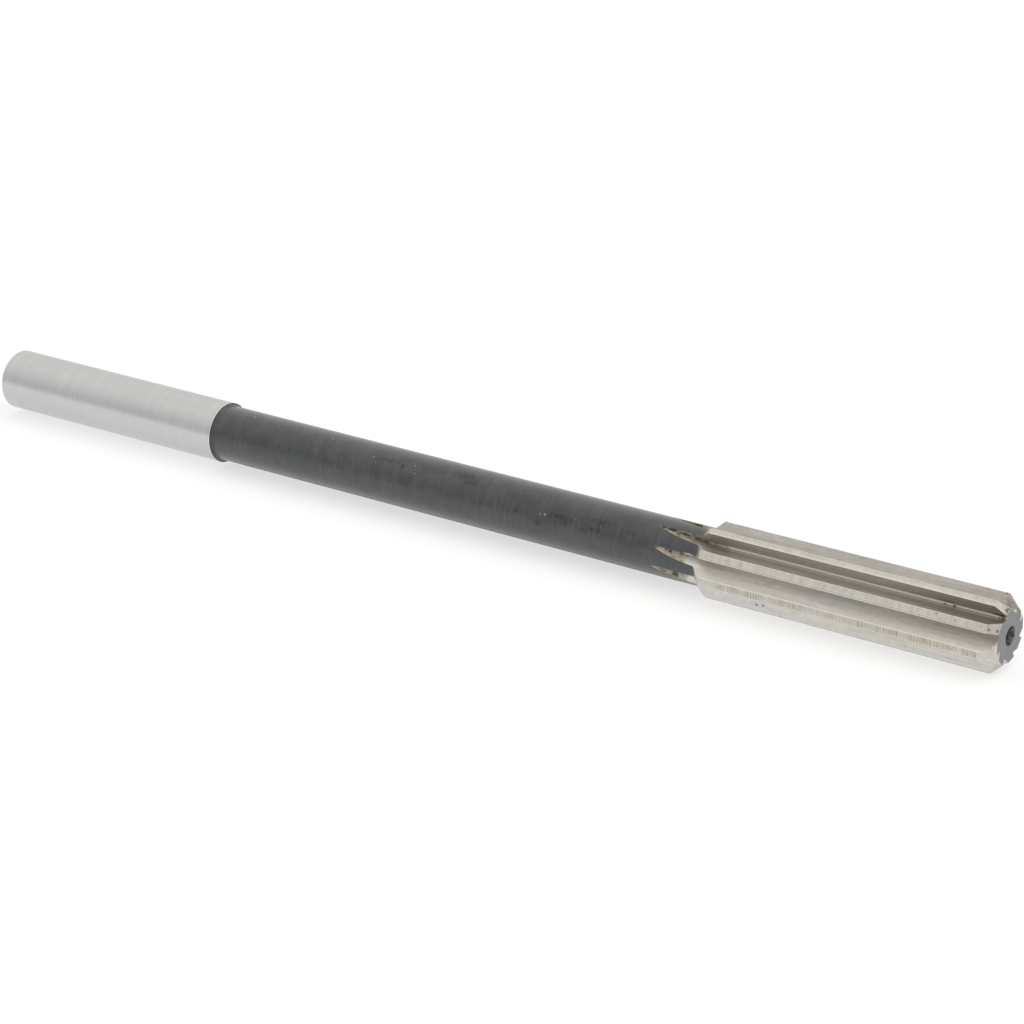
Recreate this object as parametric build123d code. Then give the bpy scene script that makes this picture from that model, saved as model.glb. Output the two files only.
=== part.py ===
from build123d import *
import os
from math import acos, atan2, cos, degrees, radians, sin, sqrt, tan

# A straight-flute machine reamer, turned, fluted and ground from one bar of high-speed steel.
# Lengths are in millimetres and angles in degrees. The tool's axis is X and its cutting end is at +X.
# The origin is on the axis at the shank's shoulder, and Z is up as the tool lies on two of its teeth.

# Lengths along the tool
overall_length = 177.8
shank_length = 44.0
flute_length = 45.25

# Turned and ground diameters
shank_diameter = 9.474
neck_diameter = 8.64
cutting_diameter = 11.112

# Edges and transitions of the turned body
shank_edge_break = 0.3
shoulder_fillet = 0.4
back_slope_angle = 45.0
back_slope_fillet = 0.6
back_slope_rounding = 0.4
lead_chamfer_length = 1.48
lead_chamfer_angle = 45.0

# Teeth: unequal gaps, the same on both halves, so that each tooth faces another across the axis
first_gap = 42.0
second_gap = 42.0
third_gap = 45.0
land_width = 1.2
margin_width = 0.3
relief_angle = 10.0
rake_angle = 3.0
lead_relief_angle = 12.0

# Flutes: the circle through their roots, how far the back of a tooth is hollow, the flat floor and the round
# at the root, and the wheel that starts to lift inside the flutes and leaves them on the neck
root_diameter = 6.3
back_hollow_angle = 3.0
root_floor_width = 0.3
root_fillet = 0.12
wheel_diameter = 116.0
wheel_lift_inside_flutes = 3.0

# Centre holes, drilled in both ends
centre_mouth_diameter = 2.8
centre_pilot_diameter = 1.2
centre_pilot_length = 1.6
centre_cone_angle = 60.0

# Values that follow from the driving dimensions
HALF_TURN = 180.0
DOWN = 270.0
tool_end = overall_length - shank_length
flute_start = tool_end - flute_length
shank_radius = shank_diameter / 2
neck_radius = neck_diameter / 2
cutting_radius = cutting_diameter / 2
root_radius = root_diameter / 2
lead_end_radius = cutting_radius - lead_chamfer_length * tan(radians(lead_chamfer_angle))
wheel_radius = wheel_diameter / 2
widest_gap = HALF_TURN - first_gap - second_gap - third_gap
tooth_gaps = 2 * (widest_gap, first_gap, second_gap, third_gap)
relief_drop = (land_width - margin_width) * tan(radians(relief_angle))
outside_radius = 1.3 * cutting_radius


def polar(radius, angle):
    """Point in the plane across the tool, with the angle counted from +Y towards +Z."""
    return Vector(0, radius * cos(radians(angle)), radius * sin(radians(angle)))


def arc_angle(width, radius):
    """Angle in degrees that a width takes up around a circle."""
    return degrees(width / radius)


def cutting_face():
    """Cutting edge at angle 0, with the direction down its face."""
    edge = polar(cutting_radius, 0)
    inward = polar(-1, rake_angle)
    return edge, inward


def face_depth(radius):
    """Distance down a cutting face from its edge to a circle about the axis."""
    face_offset = cutting_radius * sin(radians(rake_angle))
    return cutting_radius * cos(radians(rake_angle)) - sqrt(radius**2 - face_offset**2)


def heel_of_tooth(edge_angle):
    """Back corner of the land of a tooth."""
    return polar(cutting_radius - relief_drop, edge_angle - arc_angle(land_width, cutting_radius))


def turned_body():
    """Shank, shoulder, neck, back slope and cutting cylinder as one revolved profile."""
    slope_length = (cutting_radius - neck_radius) / tan(radians(back_slope_angle))
    neck_root = Vector(0, 0, neck_radius)
    slope_foot = Vector(flute_start - slope_length, 0, neck_radius)
    slope_top = Vector(flute_start, 0, cutting_radius)
    outline = Polyline(
        (-shank_length, 0, 0),
        (-shank_length, 0, shank_radius - shank_edge_break),
        (-shank_length + shank_edge_break, 0, shank_radius),
        (0, 0, shank_radius),
        neck_root,
        slope_foot,
        slope_top,
        (tool_end - lead_chamfer_length, 0, cutting_radius),
        (tool_end, 0, lead_end_radius),
        (tool_end, 0, 0),
        close=True,
    )
    profile = make_face(outline)
    roundings = (
        (neck_root, shoulder_fillet),
        (slope_foot, back_slope_fillet),
        (slope_top, back_slope_rounding),
    )
    for corner, radius in roundings:
        nearest = profile.vertices().sort_by_distance(corner)[0]
        profile = fillet(nearest, radius)
    return revolve(profile, axis=Axis.X)


def flute_section(gap):
    """Section of one flute, from the cutting edge at angle 0 to the heel of the tooth ahead.

    The cutting face runs down to the root circle, a small round turns it on to the floor, and the back of
    the next tooth rises from there, slightly hollow, to its heel. Returns the section and its root.
    """
    edge, inward = cutting_face()
    heel = heel_of_tooth(gap)
    root = edge + inward * face_depth(root_radius)
    to_heel = heel - root
    along_floor = polar(1, degrees(atan2(to_heel.Z, to_heel.Y)) + back_hollow_angle)
    floor_end = root + along_floor * root_floor_width
    clear_height = outside_radius - cutting_radius
    outside_face = edge - inward * clear_height

    face_and_floor = FilletPolyline(outside_face, root, floor_end, radius=root_fillet)
    back = TangentArc(floor_end, heel, tangent=along_floor)
    outside_heel = heel + (back % 1) * clear_height
    outline = [
        *face_and_floor.edges(),
        back,
        Line(heel, outside_heel),
        Line(outside_heel, outside_face),
    ]
    return make_face(outline), root


def flute_cut(gap):
    """Space that one flute takes out: straight along the teeth, then rising on the wheel's arc."""
    section, root = flute_section(gap)
    lift_start = flute_start + wheel_lift_inside_flutes
    section = Pos(lift_start, 0, 0) * section
    straight = extrude(section, amount=2 * (tool_end - lift_start), dir=(1, 0, 0))

    outward = root.normalized()
    wheel_centre = Vector(lift_start, 0, 0) + outward * (root_radius + wheel_radius)
    wheel_axis = Axis(wheel_centre, outward.cross(Vector(1, 0, 0)))
    lift_angle = degrees(acos(1 - (outside_radius - root_radius) / wheel_radius))
    run_out = revolve(section, axis=wheel_axis, revolution_arc=lift_angle)
    return [straight, run_out]


def land_relief_cut():
    """Space above a land's relief, which falls from the margin to the heel and on over the flute."""
    margin_angle = -arc_angle(margin_width, cutting_radius)
    margin_end = polar(cutting_radius, margin_angle)
    heel = heel_of_tooth(0)
    over_flute = heel + (heel - margin_end) / 2
    outline = Polyline(
        margin_end,
        over_flute,
        over_flute * (outside_radius / over_flute.length),
        polar(outside_radius, margin_angle),
        close=True,
    )
    return extrude(make_face(outline), amount=overall_length, dir=(1, 0, 0))


def lead_relief_cut():
    """Space above the flat that clears a tooth's bevel lead: it falls away behind the cutting edge."""
    edge, inward = cutting_face()
    lead_start = Vector(tool_end - lead_chamfer_length, 0, 0) + edge
    lead_end = Vector(tool_end, 0, 0) + edge + inward * face_depth(lead_end_radius)

    along_edge = (lead_end - lead_start).normalized()
    behind_edge = polar(1, -90)
    clearance = radians(lead_relief_angle)
    falling = behind_edge * cos(clearance) - along_edge.cross(behind_edge) * sin(clearance)
    flat = Plane(origin=lead_start, x_dir=along_edge, z_dir=along_edge.cross(falling))

    length = 4 * lead_chamfer_length
    height = 2 * lead_chamfer_length
    overlap = land_width / 4
    reach = lead_end_radius * tan(radians(0.8 * min(tooth_gaps)))
    above = Pos(length / 4, (reach - overlap) / 2, height / 2) * Box(length, reach + overlap, height)
    return flat * above


def centre_hole():
    """Centre hole drilled along +X from the origin: a cone for the centre and a pilot beyond it."""
    mouth_radius = centre_mouth_diameter / 2
    pilot_radius = centre_pilot_diameter / 2
    cone_length = (mouth_radius - pilot_radius) / tan(radians(centre_cone_angle / 2))
    outline = Polyline(
        (0, 0, 0),
        (0, 0, mouth_radius),
        (cone_length, 0, pilot_radius),
        (cone_length + centre_pilot_length, 0, pilot_radius),
        (cone_length + centre_pilot_length, 0, 0),
        close=True,
    )
    return revolve(make_face(outline), axis=Axis.X)


def resting_edge_angle():
    """Angle of the cutting edge that the tool lies on, together with the heel across the widest gap."""
    rest_line = heel_of_tooth(widest_gap) - polar(cutting_radius, 0)
    return DOWN - degrees(atan2(-rest_line.Y, rest_line.Z))


def reamer():
    """The whole tool: the turned body with its teeth cut and both ends centre-drilled."""
    body = turned_body()
    edge_angle = resting_edge_angle()
    reliefs = []
    flutes = []
    leads = []
    for gap in tooth_gaps:
        turn = Rot(X=edge_angle)
        reliefs.append(turn * land_relief_cut())
        flutes += [turn * cut for cut in flute_cut(gap)]
        leads.append(turn * lead_relief_cut())
        edge_angle += gap
    for cut in (*reliefs, *flutes, *leads):
        body -= cut
    body -= Pos(-shank_length, 0, 0) * centre_hole()
    body -= Pos(tool_end, 0, 0) * Rot(Z=HALF_TURN) * centre_hole()
    return body


os.makedirs("parts", exist_ok=True)
tool = reamer()
tool.label = "reamer"
export_step(tool, "parts/reamer.step")
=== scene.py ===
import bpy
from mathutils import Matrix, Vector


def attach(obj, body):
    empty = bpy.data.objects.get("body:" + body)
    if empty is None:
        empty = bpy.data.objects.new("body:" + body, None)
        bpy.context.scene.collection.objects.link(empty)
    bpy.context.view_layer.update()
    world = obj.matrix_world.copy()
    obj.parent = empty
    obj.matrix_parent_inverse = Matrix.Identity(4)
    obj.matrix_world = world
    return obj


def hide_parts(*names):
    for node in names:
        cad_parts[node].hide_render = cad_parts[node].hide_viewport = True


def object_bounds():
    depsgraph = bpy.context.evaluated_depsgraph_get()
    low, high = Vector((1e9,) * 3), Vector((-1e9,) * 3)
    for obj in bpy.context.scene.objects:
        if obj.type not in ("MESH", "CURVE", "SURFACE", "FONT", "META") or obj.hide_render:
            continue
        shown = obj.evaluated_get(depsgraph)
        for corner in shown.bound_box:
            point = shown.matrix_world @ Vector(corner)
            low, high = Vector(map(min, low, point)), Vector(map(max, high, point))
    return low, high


bl_info = {
    "name": "Machine Reamer",
    "version": (1, 0, 0),
    "blender": (4, 5, 0),
    "location": "View3D > Sidebar > Reamer",
    "description": "Dresses the frame of a straight-flute machine reamer and sets it on a plain studio floor",
    "category": "Add Mesh",
}

from math import cos, pi, radians, sin, sqrt, tan

import bmesh
import bpy
import numpy as np
from bpy.props import FloatProperty, FloatVectorProperty, PointerProperty
from mathutils import Matrix, Vector

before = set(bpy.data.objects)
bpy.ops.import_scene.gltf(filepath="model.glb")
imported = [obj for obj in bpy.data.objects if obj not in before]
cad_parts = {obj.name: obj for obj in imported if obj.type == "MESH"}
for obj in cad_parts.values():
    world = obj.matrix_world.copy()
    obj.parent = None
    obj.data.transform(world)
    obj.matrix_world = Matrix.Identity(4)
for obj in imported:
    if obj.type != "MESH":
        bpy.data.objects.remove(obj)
CAD_BOX = [list(corner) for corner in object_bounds()]
TOOL_END = CAD_BOX[1][0]
SHANK_LENGTH = -CAD_BOX[0][0]

# Shares of its own length at which each part of a flute's section has its points
HIGH_FACE = np.array((0.0, 0.09, 0.3, 0.65))
LOW_FACE = np.array((0.0, 0.4, 0.7))
ROOT_ROUND = np.array((0.0, 0.17, 0.33, 0.5, 0.67, 0.83))
FLOOR = np.array((0.0, 0.35, 0.7))
LOW_BACK = np.array((0.0, 0.2, 0.4, 0.6, 0.8))
HIGH_BACK = np.array((0.0, 0.15, 0.3, 0.45, 0.6, 0.75, 0.93))
RELIEF = np.array((0.0, 0.08, 0.3, 0.55, 0.8))
MARGIN = np.array((0.0, 0.25, 0.5))

# Columns of points from one cutting edge to the next, and the column at which some of the parts start
PARTS = (HIGH_FACE, LOW_FACE, ROOT_ROUND, FLOOR, LOW_BACK, HIGH_BACK, RELIEF, MARGIN)
STARTS = [sum(len(part) for part in PARTS[:k]) for k in range(len(PARTS) + 1)]
LEAD_COLUMN, ROUND_COLUMN = STARTS[1:3]
BACK_LEAD_COLUMN, HEEL_COLUMN, MARGIN_COLUMN, COLUMNS = STARTS[5:]
# The pale strip along a root, milled steel with a painted highlight of the round:
# the foot of the cutting face and the start of the round below it
ROOT_STRIP = slice(LEAD_COLUMN + 2, ROUND_COLUMN + 2)

# Points that the curves of a section are worked out from, and rings along each stretch of the axis
FILLET_POINTS = 9
FACE_POINTS = 121
ROOT_POINTS = 13
BACK_POINTS = 61
RELIEF_POINTS = 31
LAND_POINTS = 41
SHANK_RINGS = 40
NECK_RINGS = 60
LIFT_RINGS = 12
TOOTH_RINGS = 32

# Steps and room between rings in metres, and the decimals that their places are rounded to
RUN_OUT_STEP = 0.0002
BEFORE_RUN_OUT = 0.0005
BEFORE_LEAD = 0.0003
BETWEEN_RINGS = 0.00003
RING_DECIMALS = 7

# What counts as one place, in metres, or as no height over the relief, in square metres
SAME_PLACE = 2e-8
TINY = 1e-9
TINY_AREA = 1e-12

# Search for the end of a run-out: the longest one in metres, and how often the stretch is halved
LONGEST_RUN_OUT = 0.02
HALVINGS = 50

# How far a cutting face is drawn past its edge, in radii, the wear with its painted highlight where a margin
# starts, and the angle above which an edge is sharp
FACE_OVERRUN = 0.3
MARGIN_WEAR_AND_HIGHLIGHT = 0.4
SHARP_ANGLE = radians(28)

# Order of the finishes on the tool
SHANK, NECK, GROOVE, FLUTE, LAND, END, HOLE = range(7)

# Ramps along the axis in metres, counted from the rear of the full teeth unless the name says another place
RUN_OUT_RAMP = (0.003, -0.001)
GRIME_AND_SHADE_RAMP = (0.006, 0.001)
GRIME_AND_SHADE_RAMP_FROM_TIP = (-0.018, -0.002)
TICK_RAMP = (0.001, 0.004)
TICK_RAMP_FROM_LEAD = (-0.0006, -0.0010)
MILLED_RAMP_FROM_STOP = (0.0007, 0.0004)
# How far a border wanders, and how many times stronger the grime and painted shade in the flutes get
RUN_OUT_WANDER = 0.0012
MILLED_WANDER = 0.0004
GRIME_AND_SHADE_GROWTH = 1.9
GRIME_AND_SHADE_GROWTH_AT_TIP = 2.3

# Thin dark films in the flutes, grime with painted shade deep in the hollow of a flute: which flute,
# the middle and half the width of the film in degrees round the axis from the flute's cutting edge, and its
# strength
GRIME_AND_SHADE_IN_FLUTES = (
    (4, -1.0, 5.0, 0.09),
    (5, -1.0, 4.0, 0.30),
    (5, 20.0, 14.0, 0.20),
    (6, 2.0, 15.0, 0.15),
)

# Chatter ticks: their tooth, their pitch in metres, how far their wave shifts in radians, and their middle
# and half width on the land, as a share of its width and in degrees round the axis
TICKED_TOOTH = 7
TICK_PITCH = 0.00042
TICK_SHIFT = 5.5
TICK_MIDDLE = 0.42
TICK_HALF_WIDTH = 7.0

# Marks on the tool in millimetres: X, Y and Z of the middle, the reach along the axis and the reach across
MILLIMETRES = 1000
DARK_ALONG_ROOTS = (
    (86.1, -1.66, 3.16, 1.2, 0.22),
    (88.0, -1.58, 3.00, 1.2, 0.18),
    (124.7, -1.58, 2.81, 0.28, 0.24),
    (126.2, -1.53, 2.86, 0.30, 0.22),
)
DARK_IN_GROOVES = (
    (81.0, -2.05, 3.72, 0.5, 0.30),
    (82.4, -1.90, 3.60, 1.2, 0.30),
    (84.3, -1.72, 3.40, 1.5, 0.26),
    (80.7, -4.08, 1.28, 0.6, 0.28),
    (82.5, -3.75, 1.25, 0.4, 0.24),
    (83.1, -3.70, 1.16, 0.35, 0.22),
    (85.0, -3.43, 1.11, 0.4, 0.22),
    (83.9, -3.40, -2.24, 0.75, 0.50),
    (84.6, 1.60, 3.68, 1.0, 0.30),
    (133.3, -1.57, 3.02, 0.7, 0.50),
    *DARK_ALONG_ROOTS,
)
BROWN_IN_GROOVES = (
    (89.2, -1.55, 2.95, 2.2, 0.60),
    (87.6, -1.60, 2.97, 1.4, 0.60),
    (83.0, -3.60, 0.60, 1.2, 0.50),
    (82.0, -3.75, -1.95, 1.0, 0.50),
    (82.6, 1.68, 3.83, 1.4, 0.45),
    (84.6, 1.60, 3.68, 1.6, 0.50),
)
DARK_IN_FLUTES = (
    (97.0, -2.97, -3.82, 0.32, 0.28),
    (98.1, -2.97, -3.70, 0.30, 0.25),
    (129.2, 1.99, 4.97, 0.20, 0.15),
    (132.0, 2.00, 5.04, 0.26, 0.18),
    (132.6, -1.70, 3.25, 1.2, 0.45),
    *DARK_ALONG_ROOTS,
)
BROWN_IN_FLUTES = (
    (125.1, -1.88, 3.51, 1.6, 0.45),
    (132.9, 1.60, 3.85, 1.5, 1.20),
    (132.8, 1.86, 4.70, 0.4, 0.30),
    (133.4, 1.66, 4.15, 0.4, 0.30),
    (133.2, -4.00, 0.10, 0.6, 0.60),
    (88.6, -2.00, 3.40, 2.4, 0.50),
)
BROWN_ON_LANDS = (
    (132.66, -4.64, 2.11, 0.24, 0.18),
    (133.60, -3.75, 1.84, 0.30, 0.40),
    (133.50, -1.21, 4.01, 0.40, 0.60),
    (125.10, -4.78, 2.57, 0.17, 0.15),
    (133.60, -0.80, 4.02, 0.25, 0.90),
)
SMUDGES_ON_NECK = (
    (58.4, -3.14, 2.96, 3.5, 1.1),
    (64.3, -3.47, 2.57, 3.0, 1.3),
    (69.5, -3.50, 2.55, 2.8, 1.2),
    (75.5, -2.60, 3.45, 3.0, 1.2),
    (41.0, -2.20, 3.70, 4.0, 1.0),
)
DULL_ON_NECK = (
    (33.5, -2.68, 3.38, 2.2, 0.45),
    (35.8, -2.95, 3.15, 0.5, 0.50),
    (36.4, -1.91, 3.87, 1.3, 0.50),
    (47.0, -2.10, 3.77, 3.0, 1.00),
    (48.4, -2.82, 3.26, 2.2, 0.55),
    (57.0, -4.14, 1.23, 0.8, 0.55),
    (61.1, -4.29, 0.46, 0.7, 0.65),
    (64.4, -3.83, 2.01, 1.9, 0.45),
    (65.8, -4.08, 1.41, 0.7, 0.45),
    (66.4, -3.92, 1.82, 1.5, 0.50),
    (69.0, -4.20, 0.96, 1.4, 0.45),
    (70.6, -4.04, 1.51, 1.6, 0.45),
    (72.0, -3.45, 2.59, 2.4, 0.75),
    (74.9, -3.98, 1.68, 0.6, 0.45),
    (76.3, -3.68, 2.26, 1.8, 0.40),
)
SPECKS_ON_NECK = (
    (62.05, -3.91, 1.83, 0.26, 0.24),
    (61.27, -3.96, 1.72, 0.12, 0.12),
    (56.84, -2.61, 3.44, 0.11, 0.11),
    (38.36, -3.43, 2.61, 0.11, 0.11),
    (37.85, -2.48, 3.53, 0.11, 0.11),
    (30.27, -2.71, 3.36, 0.14, 0.14),
    (21.74, -1.57, 4.02, 0.16, 0.16),
    (6.23, -1.12, 4.17, 0.16, 0.16),
)
WHEEL_TOUCH_ON_NECK = ((86.3, -4.06, 1.48, 1.1, 0.20),)

# Floor: half its width and the ramps of the light that metal mirrors, in metres beside and along the tool,
# and its paint and own light together, as the camera and as metal sees it
FLOOR_HALF_WIDTH = 3.0
FAR_IN_FRONT = (-0.045, -0.09)
# Where the floor's mirrored light is dimmed, as a painted shadow of the tool under the neck
UNDER_NECK_IN_FRONT = (-0.0022, -0.0006)
UNDER_NECK_BEHIND = (0.014, 0.008)
UNDER_NECK_REAR = (-0.002, 0.004)
UNDER_NECK_TIP = (0.087, 0.081)
FLOOR_SEEN = 1.04
FLOOR_MIRRORED = 1.0

# Room: where the front wall turns into the back wall, and where the ceiling starts, which is tilted
WALL_TURN = (-0.6, 0.6)
CEILING_RISE = (0.3, 0.9)
CEILING_TILT = -0.12
WHITE = (1.0, 1.0, 1.0)

# Lamp and camera, in metres; the sensor's width is in millimetres
LAMP_PLACE = (0.40, 0.32, 0.95)
LAMP_AIM = (0.045, 0.0, 0.0)
SENSOR_WIDTH = 36.0
CLIP_START = 0.01
CLIP_END = 20.0


def number(name, description, default, **settings):
    """A number that the sidebar shows with its name."""
    return FloatProperty(name=name, description=description, default=default, **settings)


def length(name, description, default):
    """A size in metres that the sidebar shows with its unit."""
    return number(name, description, default, min=0.0, precision=5, unit="LENGTH")


def angle(name, description, degrees):
    """An angle that the sidebar shows in degrees."""
    return number(name, description, radians(degrees), subtype="ANGLE")


def share(name, description, default):
    """A number from nothing to all."""
    return number(name, description, default, min=0.0, max=1.0, subtype="FACTOR")


def colour(name, description, default):
    """A colour, written in linear light."""
    return FloatVectorProperty(
        name=name, description=description, default=default, min=0.0, max=1.0, size=3, subtype="COLOR"
    )


class ReamerSizes(bpy.types.PropertyGroup):
    """Sizes of the tool, the same as those of its solid."""

    overall_length: length("Overall length", "From the shank's end to the tip", TOOL_END + SHANK_LENGTH)
    shank_length: length("Shank length", "From the shank's end to the shoulder", SHANK_LENGTH)
    flute_length: length("Flute length", "From the top of the back slope to the tip", 0.04525)
    shank_diameter: length("Shank diameter", "Ground part that the holder grips", 0.009474)
    neck_diameter: length("Neck diameter", "Slim part between the shank and the teeth", 0.00864)
    cutting_diameter: length("Cutting diameter", "Across two opposite margins", 0.011112)
    shank_edge_break: length("Shank edge break", "Bevel round the shank's end", 0.0003)
    shoulder_fillet: length("Shoulder fillet", "Round where the shoulder meets the neck", 0.0004)
    slope_angle: angle("Back slope", "Slope behind the teeth, against the axis", 45.0)
    slope_fillet: length("Slope fillet", "Round at the foot of the back slope", 0.0006)
    slope_rounding: length("Slope rounding", "Round at the top of the back slope", 0.0004)
    lead_length: length("Lead length", "Bevel lead, measured along the axis", 0.00148)
    lead_angle: angle("Lead angle", "Bevel lead, against the axis", 45.0)
    lead_relief: angle("Lead relief", "Clearance behind the bevel lead's cutting edge", 12.0)
    first_gap: angle("First gap", "From one cutting edge to the next", 42.0)
    second_gap: angle("Second gap", "From one cutting edge to the next", 42.0)
    third_gap: angle("Third gap", "From one cutting edge to the next; the fourth takes what is left", 45.0)
    land_width: length("Land width", "Top of a tooth, from its edge to its heel", 0.0012)
    margin_width: length("Margin width", "Part of the land at full diameter", 0.0003)
    relief_angle: angle("Relief", "Clearance of the land behind the margin", 10.0)
    rake_angle: angle("Rake", "Lean of the cutting face", 3.0)
    root_diameter: length("Root diameter", "Circle through the roots of the flutes", 0.0063)
    back_hollow: angle("Back hollow", "How far a tooth's back is hollow", 3.0)
    floor_width: length("Floor width", "Flat floor at a flute's root", 0.0003)
    root_round: length("Root round", "Round between a cutting face and the floor", 0.00012)
    wheel_diameter: length("Wheel diameter", "Cutter whose lift leaves the run-out", 0.116)
    wheel_lift: length("Wheel lift", "How far inside the teeth the cutter starts to lift", 0.003)
    centre_mouth: length("Centre mouth", "Centre hole where it opens", 0.0028)
    centre_pilot: length("Centre pilot", "Drilled end of a centre hole", 0.0012)
    centre_pilot_length: length("Centre pilot length", "Depth of the drilled end", 0.0016)
    centre_cone: angle("Centre cone", "Included angle of a centre hole", 60.0)
    # Wear at the shank's edges, partly a painted highlight: pale colour where a rounded edge would catch the
    # light
    wear_and_highlight_width: length("Wear width", "How far the wear reaches from the shank's edges", 0.00018)
    oxide_stop: length("Oxide stop", "How far before the full teeth the dark oxide ends", 0.0009)
    milled_stop: length("Milled stop", "How far before the full teeth the rough grooves end", 0.0033)


class ReamerFinish(bpy.types.PropertyGroup):
    """Colours and gloss of the tool's surfaces."""

    ground_steel: colour("Ground steel", "Bright steel of the shank", (0.620, 0.620, 0.622))
    flute_steel: colour("Flute steel", "Steel of the ground flutes", (0.655, 0.638, 0.608))
    warm_steel: colour("Warm steel", "Warmer lines in the flutes", (0.680, 0.620, 0.540))
    land_steel: colour("Land steel", "Steel of the lands and the lead", (0.600, 0.575, 0.520))
    end_steel: colour("End steel", "Steel of the two end faces", (0.250, 0.254, 0.256))
    oxide: colour("Oxide", "Dark oxide of the neck", (0.014, 0.0168, 0.0192))
    oxide_worn: colour("Worn oxide", "Thin, browner oxide", (0.040, 0.037, 0.032))
    bare_speck: colour("Bare speck", "Steel that shows through the oxide", (0.250, 0.265, 0.265))
    milled_steel: colour("Milled steel", "Rough steel of the run-outs", (0.490, 0.455, 0.375))
    # Pale colour along the roots: milled steel and a painted highlight of the round at the root
    root_steel_and_highlight: colour("Root steel", "Clean milled steel along the roots", (0.880, 0.850, 0.780))
    # Pale colour at the edges: rubbed steel and a painted highlight of rounded edges catching the light
    rubbed_and_highlight_steel: colour("Worn steel", "Edges that are rubbed bright", (0.970, 0.940, 0.880))
    stain: colour("Stain", "Dark stain in the rough grooves", (0.055, 0.043, 0.028))
    # Dark film in the flutes: grime and painted shade
    grime_and_shade: colour("Grime", "Thin film in the flutes", (0.270, 0.240, 0.200))
    brown: colour("Brown", "Thin brown stain", (0.230, 0.165, 0.095))
    speckle: colour("Speckle", "Fine speckle on the lands", (0.360, 0.290, 0.190))
    tick: colour("Chatter tick", "Ticks along one land", (0.330, 0.245, 0.150))
    ground_roughness: share("Ground roughness", "Blur of the ground surfaces", 0.30)
    flute_roughness: share("Flute roughness", "Blur of the ground flutes", 0.38)
    oxide_roughness: share("Oxide roughness", "Blur of the oxide", 0.42)


class ReamerStage(bpy.types.PropertyGroup):
    """Floor, light and camera."""

    floor_colour: colour("Floor", "Colour of the floor", (0.90, 0.90, 0.90))
    floor_lift: share("Floor lift", "Own light of the floor that the camera sees", 0.62)
    floor_shine: share("Floor shine", "Own light of the floor that metal mirrors", 0.77)
    floor_far: share("Floor far", "Own light of the floor that metal mirrors farther in front", 0.46)
    # Painted shadow: the share of the floor's mirrored light left under the neck
    floor_under: share("Floor under", "Share of that light left right under the neck", 0.3)
    ceiling: colour("Ceiling", "Light from above", (1.0, 0.985, 0.95))
    front_wall: colour("Front wall", "Light from the wall on the camera's side", (0.69, 0.69, 0.705))
    back_wall: colour("Back wall", "Light from the far wall", (0.87, 0.86, 0.845))
    lamp_power: number("Lamp", "Power of the soft lamp", 1.6, min=0.0, unit="POWER")
    lamp_size: length("Lamp size", "Width of the soft lamp", 0.8)
    azimuth: angle("Azimuth", "Camera's turn round the tool", 34.2122)
    elevation: angle("Elevation", "Camera's height above the tool", 22.6288)
    turn: angle("Turn", "Turn of the view about the tool's axis", 2.847)
    distance: length("Distance", "From the tool's middle to the camera", 0.43666)
    slide: FloatVectorProperty(
        name="Slide",
        description="Shift of the camera to the right and up",
        default=(0.0072718, -0.0027314),
        size=2,
        precision=5,
        unit="LENGTH",
    )
    lens: number("Lens", "Focal length", 103.24, unit="CAMERA")


def polar(radius, angle):
    """Point across the tool as a complex number, Y + Zi, with the angle counted from +Y towards +Z."""
    return radius * np.exp(1j * angle)


def turned(points, angle):
    """Points across the tool, turned about its axis."""
    return points * polar(1, angle)


def spaced(path, shares):
    """Points at the given shares of a path's length."""
    reach = np.append(0.0, np.cumsum(abs(np.diff(path))))
    return np.interp(shares * reach[-1], reach, path)


def shrunk_to(point):
    """Points of a flute that has shrunk to one point, and of the land from there."""
    return np.full(HEEL_COLUMN, point), np.array([point])


def crossing(path, radii, outside, inside, radius):
    """Point where a path crosses a circle about the axis."""
    if radii[outside] <= radius:
        return path[outside]
    t = (radius - radii[inside]) / (radii[outside] - radii[inside])
    return path[inside] + t * (path[outside] - path[inside])


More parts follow.
